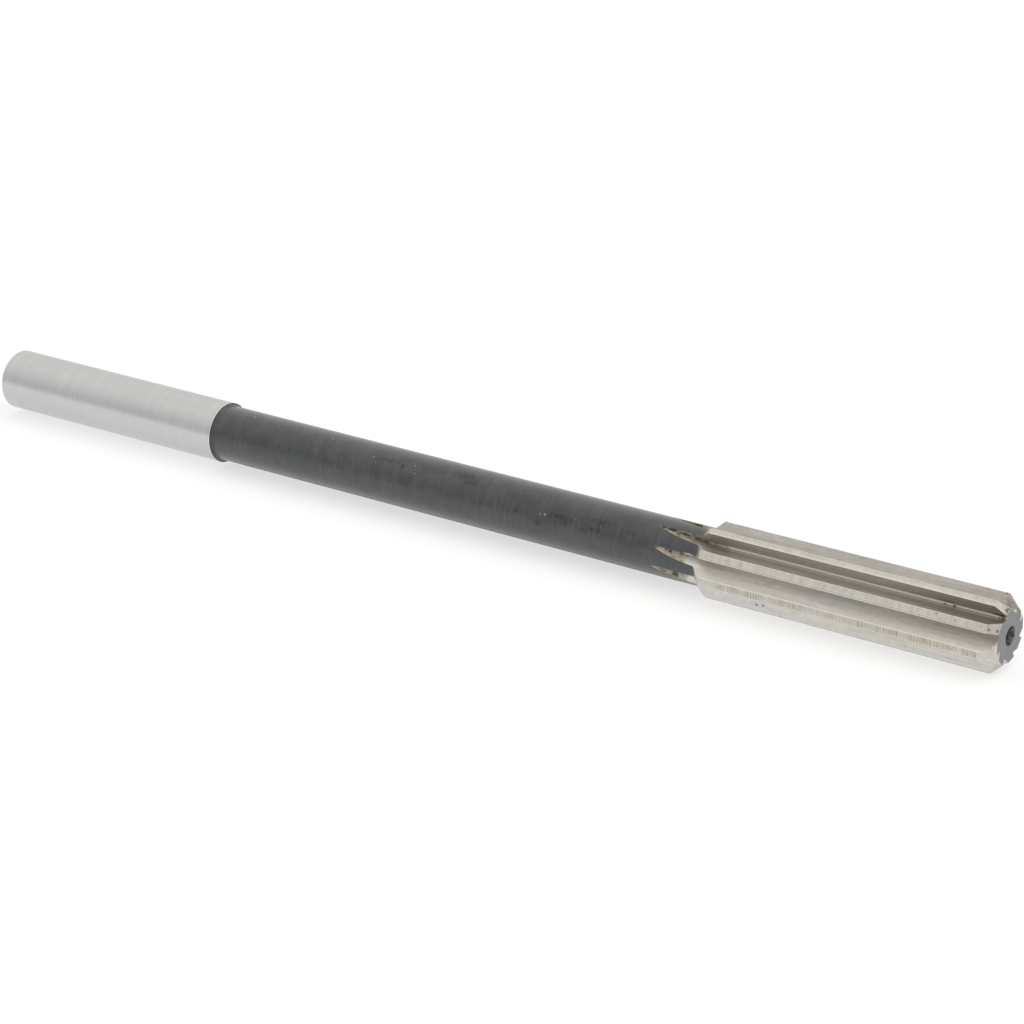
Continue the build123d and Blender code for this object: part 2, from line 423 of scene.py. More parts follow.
class Form:
    """The tool's shape, worked out from its sizes."""

    def __init__(self, sizes):
        self.sizes = sizes
        self.end = sizes.overall_length - sizes.shank_length
        self.flute_start = self.end - sizes.flute_length
        self.lift_start = self.flute_start + sizes.wheel_lift
        self.lead_start = self.end - sizes.lead_length
        self.shank = sizes.shank_diameter / 2
        self.neck = sizes.neck_diameter / 2
        self.cutting = sizes.cutting_diameter / 2
        self.root = sizes.root_diameter / 2
        self.edge = polar(self.cutting, 0)
        self.up_face = polar(1, sizes.rake_angle)
        self.set_lead_plane()
        self.flutes = self.make_flutes()
        self.first_tip = min(flute.tip for flute in self.flutes)
        self.outline = self.turned_outline()

    def make_flutes(self):
        """The flutes round the tool, which rests on the first tooth's edge and the heel ahead of it."""
        gaps = [self.sizes.first_gap, self.sizes.second_gap, self.sizes.third_gap]
        gaps = 2 * [pi - sum(gaps), *gaps]
        rest = self.heel(gaps[0]) - self.edge
        edge_angle = 1.5 * pi - np.angle(-1j * rest)
        flutes = []
        for gap in gaps:
            flutes.append(Flute(self, gap, edge_angle))
            edge_angle += gap
        return flutes

    def heel(self, gap):
        """Back corner of the land ahead, seen from a cutting edge at angle 0."""
        sizes = self.sizes
        drop = (sizes.land_width - sizes.margin_width) * tan(sizes.relief_angle)
        return polar(self.cutting - drop, gap - sizes.land_width / self.cutting)

    def face_depth(self, radius):
        """Distance down a cutting face from its edge to a circle about the axis."""
        offset = self.cutting * sin(self.sizes.rake_angle)
        return self.cutting * cos(self.sizes.rake_angle) - sqrt(radius**2 - offset**2)

    def set_lead_plane(self):
        """The relieved flat of the bevel lead, for a tooth with its edge at angle 0."""
        sizes = self.sizes
        self.lead_depth = self.face_depth(self.cutting - sizes.lead_length * tan(sizes.lead_angle))
        self.lead_end = self.edge - self.up_face * self.lead_depth
        start = Vector((self.lead_start, self.edge.real, self.edge.imag))
        end = Vector((self.end, self.lead_end.real, self.lead_end.imag))
        along = (end - start).normalized()
        behind = Vector((0, 0, -1))
        falling = behind * cos(sizes.lead_relief) - along.cross(behind) * sin(sizes.lead_relief)
        self.lead_origin = start
        self.lead_normal = along.cross(falling).normalized()

    def lead_reach(self, points):
        """How far along the axis the points of a tooth go before its lead cuts them off."""
        n, start = self.lead_normal, self.lead_origin
        across = n.y * (points.real - start.y) + n.z * (points.imag - start.z)
        return np.minimum(start.x - across / n.x, self.end)

    def turned_outline(self):
        """Turned body from the shoulder to the full teeth: its place along the axis + its radius times i."""
        sizes, slope = self.sizes, self.sizes.slope_angle
        shoulder, fillet, rounding = sizes.shoulder_fillet, sizes.slope_fillet, sizes.slope_rounding
        slope_foot = self.flute_start - (self.cutting - self.neck) / tan(slope)
        foot_middle = complex(slope_foot - fillet * tan(slope / 2), self.neck + fillet)
        top_middle = complex(self.flute_start + rounding * tan(slope / 2), self.cutting - rounding)
        arcs = (
            (complex(shoulder, self.neck + shoulder), -shoulder, 0, pi / 2),
            (foot_middle, -1j * fillet, 0, slope),
            (top_middle, 1j * rounding, slope, 0),
        )
        return np.concatenate([m + polar(arm, np.linspace(*ends, FILLET_POINTS)) for m, arm, *ends in arcs])

    def radius_at(self, x):
        """Radius of the turned body at a place along the axis."""
        return np.interp(x, self.outline.real, self.outline.imag)

    def centre_hole(self):
        """Depth and radius of each ring of a centre hole, from its bottom to its mouth."""
        mouth, pilot = self.sizes.centre_mouth / 2, self.sizes.centre_pilot / 2
        cone = (mouth - pilot) / tan(self.sizes.centre_cone / 2)
        bottom = cone + self.sizes.centre_pilot_length
        return [(bottom, 0.0), (bottom, pilot), (cone, pilot), (0.0, mouth)]


class Flute:
    """One flute's section, with its cutting edge at angle 0 and the next tooth's edge at its gap."""

    def __init__(self, form, gap, edge_angle):
        sizes = form.sizes
        self.form = form
        self.gap = gap
        self.edge_angle = edge_angle
        self.margin_angle = gap - sizes.margin_width / form.cutting
        self.margin_end = polar(form.cutting, self.margin_angle)
        self.heel = form.heel(gap)
        self.relief = np.linspace(self.heel, self.margin_end, RELIEF_POINTS)
        depth = form.face_depth(form.root)
        root = form.edge - form.up_face * depth
        self.outward = root / form.root
        floor_angle = np.angle(self.heel - root) + sizes.back_hollow
        along_floor = polar(1, floor_angle)
        opening = floor_angle - sizes.rake_angle
        setback = sizes.root_round / tan(opening / 2)
        foot = root + form.up_face * setback
        floor_end = root + along_floor * sizes.floor_width
        middle = foot + 1j * form.up_face * sizes.root_round
        self.face = np.linspace(form.edge + form.up_face * FACE_OVERRUN * form.cutting, foot, FACE_POINTS)
        self.round = middle + turned(foot - middle, -np.linspace(0, pi - opening, ROOT_POINTS))
        self.floor = np.linspace(root + along_floor * setback, floor_end, ROOT_POINTS)
        chord = self.heel - floor_end
        bend = np.angle(chord) - floor_angle
        shares = np.linspace(0, 1, BACK_POINTS)
        reach = abs(chord) * np.sin(bend * shares) / sin(bend)
        self.back = floor_end + polar(reach, floor_angle + bend * shares)
        back_reach = form.lead_reach(turned(self.back, -gap))
        self.back_lead = np.interp(-form.end + TINY, -back_reach, shares)
        self.lead_share = form.lead_depth / (depth - setback)
        self.tip, self.tip_angle = self.find_tip()

    def lifted(self, points, x):
        """Points of the section where the cutter has lifted on its arc."""
        behind = self.form.lift_start - x
        if behind <= 0:
            return points
        upright = points / self.outward
        over = self.form.root + self.form.sizes.wheel_diameter / 2 - upright.real
        return (upright + over - np.sqrt(over**2 - behind**2)) * self.outward

    def lifted_back(self, x):
        """The back where the cutter has lifted, up to the land's relief, and the relief from there."""
        back = self.lifted(self.back, x)
        along = self.margin_end - self.heel
        height = (along * np.conj(back - self.heel)).imag
        above = np.flatnonzero(height > TINY_AREA)
        if len(above) == 0 or above[0] == 0:
            return back, self.relief
        last = above[0]
        t = height[last - 1] / (height[last - 1] - height[last])
        heel = back[last - 1] + t * (back[last] - back[last - 1])
        return np.append(back[:last], heel), np.linspace(heel, self.margin_end, RELIEF_POINTS)

    def find_tip(self):
        """Where the flute runs out on the neck, and the angle at which it does."""
        low, high = self.form.lift_start - LONGEST_RUN_OUT, self.form.lift_start
        for _ in range(HALVINGS):
            middle = (low + high) / 2
            trough = self.lifted(self.round, middle)
            if abs(trough).min() > self.form.neck:
                low = middle
            else:
                high = middle
        return high, np.angle(trough[abs(trough).argmin()])

    def trough(self, root_round, floor, back):
        """Points of the section from the round at the root to the heel."""
        rise = self.back_lead
        return (
            spaced(root_round, ROOT_ROUND),
            spaced(floor, FLOOR),
            spaced(back, rise * LOW_BACK),
            spaced(back, rise + (1 - rise) * HIGH_BACK),
        )

    def full_section(self):
        """Points of the whole section at full depth, from this tooth's edge to the next one."""
        edge, lead_end = self.form.edge, self.form.lead_end
        parts = (
            edge + HIGH_FACE * (lead_end - edge),
            lead_end + LOW_FACE * (self.face[-1] - lead_end),
            *self.trough(self.round, self.floor, self.back),
            spaced(self.relief, RELIEF),
            polar(self.form.cutting, self.margin_angle + MARGIN * (self.gap - self.margin_angle)),
        )
        return np.concatenate(parts)

    def clipped_section(self, x, radius):
        """Points of the flute inside the turned body, and the path on along the land ahead.

        Parts of the section that lie outside the body shrink to the point where the flute leaves it.
        """
        if x < self.tip:
            return shrunk_to(polar(radius, self.tip_angle))
        parts = [self.lifted(part, x) for part in (self.face, self.round, self.floor)]
        parts += self.lifted_back(x)
        path = np.concatenate(parts)
        radii = abs(path)
        deepest = radii.argmin()
        if radii[deepest] >= radius:
            return shrunk_to(path[deepest] * radius / radii[deepest])
        before = deepest - np.argmax(radii[deepest::-1] >= radius)
        beyond = np.flatnonzero(radii[deepest:] >= radius - TINY)
        after = deepest + beyond[0] if len(beyond) else len(path) - 1
        entry = crossing(path, radii, before, before + 1, radius)
        leave = crossing(path, radii, after, after - 1, radius)
        owner = np.repeat(np.arange(len(parts)), [len(part) for part in parts])
        order = np.arange(len(path))
        kept = []
        for k in range(len(parts)):
            mine = path[(owner == k) & (order > before) & (order < after)]
            if k == owner[before]:
                mine = np.append(entry, mine)
            if k == owner[after]:
                mine = np.append(mine, leave)
            if len(mine) == 0:
                mine = [entry if k < owner[before] else leave]
            kept.append(mine if len(mine) > 1 else np.repeat(mine, 2))
        face, *trough, relief = kept
        high = spaced(face, self.lead_share * HIGH_FACE)
        low = spaced(face, self.lead_share + (1 - self.lead_share) * LOW_FACE)
        return np.concatenate((high, low, *self.trough(*trough))), relief


def fluted_ring(form, x, radius):
    """Section across the tool where the flutes are cut by the turned body's own circle."""
    cut = [flute.clipped_section(x, radius) for flute in form.flutes]
    rows = []
    for k, flute in enumerate(form.flutes):
        ahead = (k + 1) % len(form.flutes)
        columns, land = cut[k]
        first = np.angle(land[-1])
        entry = np.angle(cut[ahead][0][0]) + form.flutes[ahead].edge_angle - flute.edge_angle
        last = first + (entry - first) % (2 * pi)
        path = np.append(land, polar(radius, np.linspace(first, last, LAND_POINTS)[1:]))
        split = 1 - form.sizes.margin_width / form.sizes.land_width
        if radius >= form.cutting:
            split = abs(np.diff(land)).sum() / abs(np.diff(path)).sum()
        shares = np.append(split * RELIEF, split + (1 - split) * MARGIN)
        rows.append(turned(np.append(columns, spaced(path, shares)), flute.edge_angle))
    return np.concatenate(rows)


def full_ring(form):
    """Section across the full teeth, and how far each point goes along the axis to the lead or the tip."""
    points, ends = [], []
    for flute in form.flutes:
        section = flute.full_section()
        reach = np.full(len(section), form.end)
        reach[:LEAD_COLUMN] = form.lead_reach(section)[:LEAD_COLUMN]
        ahead = slice(BACK_LEAD_COLUMN + 1, None)
        reach[ahead] = form.lead_reach(turned(section, -flute.gap))[ahead]
        points.append(turned(section, flute.edge_angle))
        ends.append(reach)
    return np.concatenate(points), np.concatenate(ends)


class Skin:
    """The tool's mesh while it is being put together, ring by ring along the axis."""

    def __init__(self):
        self.bm = bmesh.new()
        # How far each point is worn, with a painted highlight along the edges
        self.wear_and_highlight = self.bm.verts.layers.float.new("wear_and_highlight")

    def ring(self, x, points, wear_and_highlight=None):
        """A ring of points, where neighbours in the same place share one point."""
        places = np.column_stack((np.broadcast_to(x, len(points)), points.real, points.imag))
        made = []
        for k, place in enumerate(places):
            if k and abs(place - places[k - 1]).max() < SAME_PLACE:
                made.append(made[-1])
            elif k and abs(place - places[0]).max() < SAME_PLACE:
                made.append(made[0])
            else:
                made.append(self.bm.verts.new(place))
                if wear_and_highlight is not None:
                    made[-1][self.wear_and_highlight] = wear_and_highlight[k]
        return made

    def circle(self, x, radius, angles, wear_and_highlight=0.0):
        """A round ring with points at the given angles, worn and painted with an edge highlight as far as
        given.
        """
        return self.ring(x, polar(radius, angles), np.full(len(angles), wear_and_highlight))

    def band(self, first, second, finishes):
        """The strip of faces between two rings, with a finish for each column."""
        for k, finish in enumerate(finishes):
            j = (k + 1) % len(first)
            corners = list(dict.fromkeys((first[k], first[j], second[j], second[k])))
            if len(corners) > 2:
                face = self.bm.faces.new(corners)
                face.smooth = True
                face.material_index = finish

    def crease(self, ring):
        """Keeps the line along a ring sharp."""
        for k, corner in enumerate(ring):
            self.sharpen(corner, ring[(k + 1) % len(ring)])

    def sharpen(self, first, second):
        """Keeps the edge between two points sharp."""
        edge = self.bm.edges.get((first, second)) if first != second else None
        if edge:
            edge.smooth = False

    def closed_mesh(self, name):
        """The finished mesh, with its steep edges sharp."""
        bmesh.ops.recalc_face_normals(self.bm, faces=self.bm.faces)
        open_edges = [edge for edge in self.bm.edges if len(edge.link_faces) != 2]
        if open_edges:
            raise RuntimeError(f"the tool's mesh is open at {len(open_edges)} edges")
        for edge in self.bm.edges:
            if edge.calc_face_angle(0.0) > SHARP_ANGLE:
                edge.smooth = False
        mesh = bpy.data.meshes.new(name)
        self.bm.to_mesh(mesh)
        self.bm.free()
        return mesh


def column_finishes(form, x):
    """Finish of each column of a ring at a place along the axis."""
    sizes = form.sizes
    one = np.full(COLUMNS, FLUTE if x > form.flute_start - sizes.milled_stop else GROOVE)
    # The root strip takes the pale groove finish, partly a painted highlight
    one[ROOT_STRIP] = GROOVE
    one[HEEL_COLUMN:] = LAND if x > form.flute_start - sizes.oxide_stop else NECK
    return [int(finish) for finish in np.tile(one, len(form.flutes))]


def skin_turned_part(skin, form, angles):
    """From the bottom of the rear centre hole to the end of the plain neck. Returns the last ring."""
    sizes = form.sizes
    rear = -sizes.shank_length
    bevel_end = rear + sizes.shank_edge_break
    # Place and radius of each ring, the finish before it, whether it is sharp, and its wear with painted
    # highlight
    rings = [(rear + depth, radius, HOLE, True, 0.0) for depth, radius in form.centre_hole()]
    rings.append((rear, form.shank - sizes.shank_edge_break, END, True, 1.0))
    rings.append((bevel_end, form.shank, SHANK, True, 1.0))
    for x in np.linspace(bevel_end + sizes.wear_and_highlight_width, -sizes.wear_and_highlight_width, SHANK_RINGS):
        rings.append((x, form.shank, SHANK, False, 0.0))
    rings.append((0.0, form.shank, SHANK, True, 1.0))
    rings.append((0.0, form.neck + sizes.shoulder_fillet, NECK, True, 0.0))
    for place in form.outline[1:FILLET_POINTS]:
        rings.append((place.real, place.imag, NECK, False, 0.0))
    for x in np.linspace(sizes.shoulder_fillet, form.first_tip - BEFORE_RUN_OUT, NECK_RINGS)[1:]:
        rings.append((x, form.neck, NECK, False, 0.0))
    before = None
    for x, radius, finish, sharp, wear_and_highlight in rings:
        ring = skin.circle(x, radius, angles, wear_and_highlight)
        if before:
            skin.band(before, ring, [finish] * len(ring))
        if sharp:
            skin.crease(ring)
        before = ring
    return before


def run_out_places(form):
    """Places of the rings from the first run-out to the full teeth."""
    places = [flute.tip for flute in form.flutes]
    places += [form.flute_start - form.sizes.oxide_stop, form.flute_start - form.sizes.milled_stop]
    places += [*form.outline.real[FILLET_POINTS:-1]]
    places += [*np.arange(form.first_tip, form.outline.real[-1], RUN_OUT_STEP)]
    places = sorted({round(x, RING_DECIMALS) for x in places})
    return [x for k, x in enumerate(places) if k == 0 or x - places[k - 1] > BETWEEN_RINGS]


def skin_run_outs(skin, form, before):
    """The grooves on the neck and the back slope between them. Returns the last ring."""
    last_x = form.first_tip - BEFORE_RUN_OUT
    for x in run_out_places(form):
        ring = skin.ring(x, fluted_ring(form, x, form.radius_at(x)))
        skin.band(before, ring, column_finishes(form, (x + last_x) / 2))
        for k, flute in enumerate(form.flutes):
            if last_x >= flute.tip - 10**-RING_DECIMALS:
                for column in (k * COLUMNS, k * COLUMNS + HEEL_COLUMN):
                    skin.sharpen(before[column], ring[column])
        before, last_x = ring, x
    return before


def skin_teeth(skin, form, before):
    """The full teeth with their worn edges and painted edge highlights, up to the lead and the tip. Returns
    the last ring.
    """
    section, ends = full_ring(form)
    # Cutting edge, heel and margin: wear with a painted highlight
    edge_wear_and_highlight = np.zeros(COLUMNS)
    edge_wear_and_highlight[[0, HEEL_COLUMN]] = 1.0
    edge_wear_and_highlight[MARGIN_COLUMN] = MARGIN_WEAR_AND_HIGHLIGHT
    edge_wear_and_highlight = np.tile(edge_wear_and_highlight, len(form.flutes))
    finishes = column_finishes(form, form.end)
    lifting = np.linspace(form.outline.real[-1], form.lift_start, LIFT_RINGS)[:-1]
    rings = [(x, fluted_ring(form, x, form.cutting)) for x in lifting]
    rings += [(x, section) for x in np.linspace(form.lift_start, ends.min() - BEFORE_LEAD, TOOTH_RINGS)]
    rings.append((ends, section))
    for x, points in rings:
        ring = skin.ring(x, points, edge_wear_and_highlight)
        skin.band(before, ring, finishes)
        for tooth in range(0, len(ring), COLUMNS):
            for column in (0, HEEL_COLUMN, MARGIN_COLUMN):
                skin.sharpen(before[tooth + column], ring[tooth + column])
        before = ring
    return before


def skin_leads(skin, ring):
    """The relieved flat of each tooth's lead. Returns the outline of the end face."""
    outline = []
    for tooth in range(0, len(ring), COLUMNS):
        follower = (tooth + COLUMNS) % len(ring)
        first = tooth + BACK_LEAD_COLUMN
        flat = [*ring[first : tooth + COLUMNS], *ring[follower : follower + LEAD_COLUMN + 1]]
        skin.bm.faces.new(flat).material_index = LAND
        skin.crease(flat)
        outline += ring[tooth + LEAD_COLUMN : first + 1]
    return outline


def skin_tip(skin, form, outline, angles):
    """The centre hole at the tip, and the end face round it."""
    hole = [skin.circle(form.end - depth, radius, angles) for depth, radius in reversed(form.centre_hole())]
    for first, second in zip(hole, hole[1:]):
        skin.band(first, second, [HOLE] * len(first))
        skin.crease(second)
    rim = []
    for loop in (outline, list(dict.fromkeys(hole[0]))):
        for k, corner in enumerate(loop):
            both = (corner, loop[(k + 1) % len(loop)])
            rim.append(skin.bm.edges.get(both) or skin.bm.edges.new(both))
    end_face = {"use_beauty": True, "use_dissolve": False, "edges": rim, "normal": (1, 0, 0)}
    for face in bmesh.ops.triangle_fill(skin.bm, **end_face)["geom"]:
        if isinstance(face, bmesh.types.BMFace):
            face.material_index = END
    for edge in rim:
        edge.smooth = False


def build_tool(form, name):
    """The whole tool as one closed mesh."""
    skin = Skin()
    angles = np.angle(fluted_ring(form, form.sizes.shoulder_fillet, form.neck))
    ring = skin_turned_part(skin, form, angles)
    ring = skin_run_outs(skin, form, ring)
    ring = skin_teeth(skin, form, ring)
    skin_tip(skin, form, skin_leads(skin, ring), angles)
    return skin.closed_mesh(name)


def tinted(base, factor):
    """A colour made lighter or darker."""
    return tuple(min(1.0, channel * factor) for channel in base)


class Nodes:
    """A node tree, emptied, with short calls for the nodes that the finishes and the stage use."""

    # Sockets of a mix node that its colours go through
    MIX_AMOUNT, MIX_FIRST, MIX_SECOND, MIX_RESULT = 0, 6, 7, 2

    def __init__(self, owner):
        owner.use_nodes = True
        self.tree = owner.node_tree
        self.tree.nodes.clear()

    def add(self, kind, inputs=(), **settings):
        """A node with its settings, and its inputs set or linked."""
        made = self.tree.nodes.new(kind)
        for name, value in settings.items():
            setattr(made, name, value)
        for name, value in dict(inputs).items():
            if isinstance(value, bpy.types.NodeSocket):
                self.tree.links.new(value, made.inputs[name])
            else:
                made.inputs[name].default_value = value
        return made

    def blended(self, amount, *colours):
        """One colour with another laid over it by an amount."""
        inputs = {self.MIX_AMOUNT: amount}
        for name, value in zip((self.MIX_FIRST, self.MIX_SECOND), colours):
            inputs[name] = value if isinstance(value, bpy.types.NodeSocket) else (*value, 1.0)
        return self.add("ShaderNodeMix", inputs, data_type="RGBA").outputs[self.MIX_RESULT]

    def ranged(self, value, low, high, to_low=0.0, to_high=1.0):
        """A value taken from one range to another and held there."""
        names = {"Value": value, "From Min": low, "From Max": high, "To Min": to_low, "To Max": to_high}
        return self.add("ShaderNodeMapRange", names).outputs[0]

    def math(self, operation, first, second=0.0):
        """Sum, product or the like of two values."""
        return self.add("ShaderNodeMath", {0: first, 1: second}, operation=operation).outputs[0]

    def plus(self, first, second):
        """Sum of two values."""
        return self.math("ADD", first, second)

    def times(self, first, *others):
        """Product of some values."""
        for other in others:
            first = self.math("MULTIPLY", first, other)
        return first

    def most(self, first, second):
        """The larger of two values."""
        return self.math("MAXIMUM", first, second)

    def vector(self, operation, *vectors):
        """Product, length or the like of vectors."""
        return self.add("ShaderNodeVectorMath", dict(enumerate(vectors)), operation=operation).outputs

    def axes(self, vector):
        """The parts of a vector along X, Y and Z."""
        return self.add("ShaderNodeSeparateXYZ", {0: vector}).outputs

    def coordinates(self, name):
        """Where a surface is, or where a ray goes."""
        return self.add("ShaderNodeTexCoord").outputs[name]


class Paint(Nodes):
    """A finish of the tool while it is put together, with its colour so far."""

    MIDDLE_OF_NOISE = (0.25, 0.75)
    MOST_OF_NOISE = (0.2, 0.8)
    WEAR_AND_HIGHLIGHT_RANGE = (0.15, 0.9)
    FULLY_FACING = 0.6
    RAGGED, CORE = 0.8, 0.45

    def __init__(self, name):
        self.material = bpy.data.materials.new(name)
        super().__init__(self.material)
        self.place = self.coordinates("Object")

    def along(self):
        """Distance along the tool's axis."""
        return self.axes(self.place)["X"]

    def grain(self, along, across, detail=2.0, roughness=0.5):
        """Noise with this many grains to the metre along the axis and across it."""
        stretched = self.add("ShaderNodeMapping", {"Vector": self.place, "Scale": (along, across, across)})
        names = {"Vector": stretched.outputs[0], "Scale": 1.0, "Detail": detail, "Roughness": roughness}
        return self.add("ShaderNodeTexNoise", names).outputs["Fac"]

    def varied(self, noise, low, high):
        """A value between two others, which follows a noise."""
        return self.ranged(noise, *self.MIDDLE_OF_NOISE, low, high)

    def shifted(self, value, noise, reach):
        """A value that a noise shifts to and fro."""
        return self.plus(value, self.ranged(noise, *self.MOST_OF_NOISE, -reach, reach))

    def ramp(self, value, origin, ends, *to):
        """A ramp along the axis between two ends that are counted from an origin."""
        return self.ranged(value, origin + ends[0], origin + ends[1], *to)

    def facing(self, angle, width):
        """How far a place lies near an angle round the axis."""
        across = self.vector("MULTIPLY", self.place, (0.0, 1.0, 1.0))[0]
        unit = self.vector("NORMALIZE", across)[0]
        near = self.vector("DOT_PRODUCT", unit, (0.0, cos(angle), sin(angle)))["Value"]
        return self.ranged(near, cos(width), cos(self.FULLY_FACING * width))

    def marked(self, marks, ragged=RAGGED, core=CORE):
        """How far a surface is marked round some places, with ragged outlines and a full core."""
        uneven = self.varied(self.grain(along=1800, across=1800, detail=4, roughness=0.7), -ragged, ragged)
        total = 0.0
        for *middle, along, across in marks:
            scale = [MILLIMETRES / reach for reach in (along, across, across)]
            offset = [-m / MILLIMETRES * s for m, s in zip(middle, scale)]
            moved = self.add("ShaderNodeMapping", {"Vector": self.place, "Location": offset, "Scale": scale})
            away = self.vector("LENGTH", moved.outputs[0])["Value"]
            total = self.most(total, self.ranged(self.plus(away, uneven), 1.0, core))
        return total

    def wear_and_highlight(self):
        """How far an edge is rubbed bright, with a painted highlight where a rounded edge would catch the
        light.
        """
        return self.ranged(self.add("ShaderNodeAttribute", attribute_name="wear_and_highlight").outputs["Fac"], *self.WEAR_AND_HIGHLIGHT_RANGE)

    def across_grinding(self):
        """Tangent along the axis, across the lines that grinding in a turn leaves."""
        return self.add("ShaderNodeTangent", direction_type="RADIAL", axis="X").outputs[0]

    def dented(self, height, strength, depth):
        """Normal of a surface with fine marks."""
        names = {"Height": height, "Strength": strength, "Distance": depth}
        return self.add("ShaderNodeBump", names).outputs[0]

    def shade(self, amount, steel, dark, light):
        """The first colour: a steel between a dark and a light tint."""
        self.colour = self.blended(amount, tinted(steel, dark), tinted(steel, light))

    def lay(self, amount, colour):
        """A colour over what is there, by an amount."""
        self.colour = self.blended(amount, self.colour, colour)

    def patch(self, noise, start, full, strength, colour):
        """A colour in patches, from where a noise starts them to where they are full, up to a strength."""
        self.lay(self.ranged(noise, start, full, 0.0, strength), colour)

    def mark(self, marks, strength, colour, ragged=RAGGED, core=CORE):
        """A colour at some marks, up to a strength."""
        self.lay(self.times(self.marked(marks, ragged, core), strength), colour)

    def finished(self, inputs):
        """The material, with its shader at the end."""
        shader = self.add("ShaderNodeBsdfPrincipled", {"Base Color": self.colour, **inputs})
        self.add("ShaderNodeOutputMaterial", {"Surface": shader.outputs[0]})
        return self.material


def milled_colour(paint, finish):
    """Rough milled steel with brown blotches and dark specks."""
    feed = paint.grain(along=2600, across=300, detail=3)
    blotch = paint.grain(along=700, across=900, detail=3, roughness=0.6)
    specks = paint.grain(along=1500, across=2200, detail=3, roughness=0.65)
    base = paint.blended(feed, tinted(finish.milled_steel, 0.80), tinted(finish.milled_steel, 1.14))
    base = paint.blended(paint.ranged(blotch, low=0.50, high=0.66, to_high=0.6), base, finish.brown)
    return paint.blended(paint.ranged(specks, low=0.58, high=0.65, to_high=0.85), base, finish.stain)


def shank_material(finish):
    """Cylindrically ground steel, with its fine lines round the shank and its edges rubbed bright, partly a
    painted highlight.
    """
    paint = Paint("ground_shank")
    steel, rough = finish.ground_steel, finish.ground_roughness
    lines = paint.grain(along=2000, across=110, detail=3, roughness=0.65)
    bands = paint.grain(along=500, across=40)
    clouds = paint.grain(along=90, across=160, detail=3)
    smears = paint.grain(along=30, across=520, detail=3, roughness=0.6)
    paint.shade(paint.ranged(lines, low=0.3, high=0.7), steel, dark=0.93, light=1.06)
    paint.patch(bands, start=0.35, full=0.7, strength=0.5, colour=tinted(steel, 0.94))
    paint.patch(clouds, start=0.55, full=0.75, strength=0.35, colour=tinted(steel, 0.92))
    paint.patch(smears, start=0.5, full=0.75, strength=0.5, colour=tinted(steel, 0.90))
    # Painted highlight with wear along the shank's edges
    paint.lay(paint.times(paint.wear_and_highlight(), 0.6), finish.rubbed_and_highlight_steel)
    return paint.finished(
        {
            "Metallic": 1.0,
            "Roughness": paint.varied(lines, rough - 0.05, rough + 0.07),
            "Anisotropic": 0.6,
            "Anisotropic Rotation": 0.25,
            "Tangent": paint.across_grinding(),
            "Normal": paint.dented(lines, strength=0.15, depth=0.00002),
        }
    )


def neck_material(finish):
    """Dark oxide over turned steel, under a film of oil that is dull in places.

    It has smudges, bright specks and one touch of the wheel.
    """
    paint = Paint("oxide_neck")
    oxide, rough = finish.oxide, finish.oxide_roughness
    lines = paint.grain(along=1800, across=220, detail=3, roughness=0.65)
    mottle = paint.grain(along=620, across=560, detail=4, roughness=0.7)
    smudges = paint.grain(along=140, across=230, detail=4, roughness=0.6)
    specks = paint.grain(along=1300, across=1300)
    paint.shade(paint.ranged(lines, low=0.3, high=0.7), oxide, dark=0.05, light=2.5)
    paint.patch(mottle, start=0.52, full=0.70, strength=0.8, colour=tinted(oxide, 0.2))
    paint.patch(mottle, start=0.48, full=0.30, strength=0.6, colour=tinted(oxide, 2.8))
    paint.patch(smudges, start=0.50, full=0.72, strength=0.7, colour=tinted(oxide, 0.35))
    paint.patch(smudges, start=0.46, full=0.3, strength=0.5, colour=finish.oxide_worn)
    paint.mark(SMUDGES_ON_NECK, strength=0.8, colour=tinted(oxide, 0.2), ragged=0.9)
    bright = paint.ranged(specks, low=0.75, high=0.79, to_high=0.7)
    paint.lay(paint.most(bright, paint.marked(SPECKS_ON_NECK)), finish.bare_speck)
    dull = paint.marked(DULL_ON_NECK, ragged=0.6, core=0.0)
    touched = paint.marked(WHEEL_TOUCH_ON_NECK, ragged=0.25)
    paint.lay(touched, tinted(finish.flute_steel, 0.8))
    return paint.finished(
        {
            "Metallic": touched,
            "Roughness": paint.varied(lines, rough - 0.07, rough + 0.1),
            "IOR": 1.60,
            "Coat Weight": paint.ranged(dull, low=0.0, high=1.0, to_low=1.0, to_high=0.05),
            "Coat Roughness": 0.28,
            "Coat IOR": 1.43,
            "Normal": paint.dented(lines, strength=0.3, depth=0.00003),
        }
    )


def groove_material(finish, form):
    """Milled steel: stained in the run-outs, clean and pale along the roots between the teeth, where the pale
    is partly a painted highlight.
    """
    paint = Paint("milled_groove")
    uneven = paint.grain(along=900, across=900, detail=3, roughness=0.6)
    border = paint.shifted(paint.along(), uneven, RUN_OUT_WANDER)
    run_out = paint.ramp(border, form.flute_start, RUN_OUT_RAMP)
    feed = paint.grain(along=2000, across=400, detail=3)
    # Clean milled steel along the roots, pale partly as a painted highlight
    paint.shade(feed, finish.root_steel_and_highlight, dark=0.9, light=1.06)
    paint.lay(run_out, milled_colour(paint, finish))
    paint.mark(BROWN_IN_GROOVES, strength=0.8, colour=finish.brown)
    paint.mark(DARK_IN_GROOVES, strength=0.88, colour=finish.stain)
    return paint.finished(
        {
            "Metallic": paint.times(run_out, 0.4),
            "Roughness": paint.ranged(feed, low=0.3, high=0.7, to_low=0.5, to_high=0.68),
            "Normal": paint.dented(feed, strength=0.4, depth=0.00005),
        }
    )


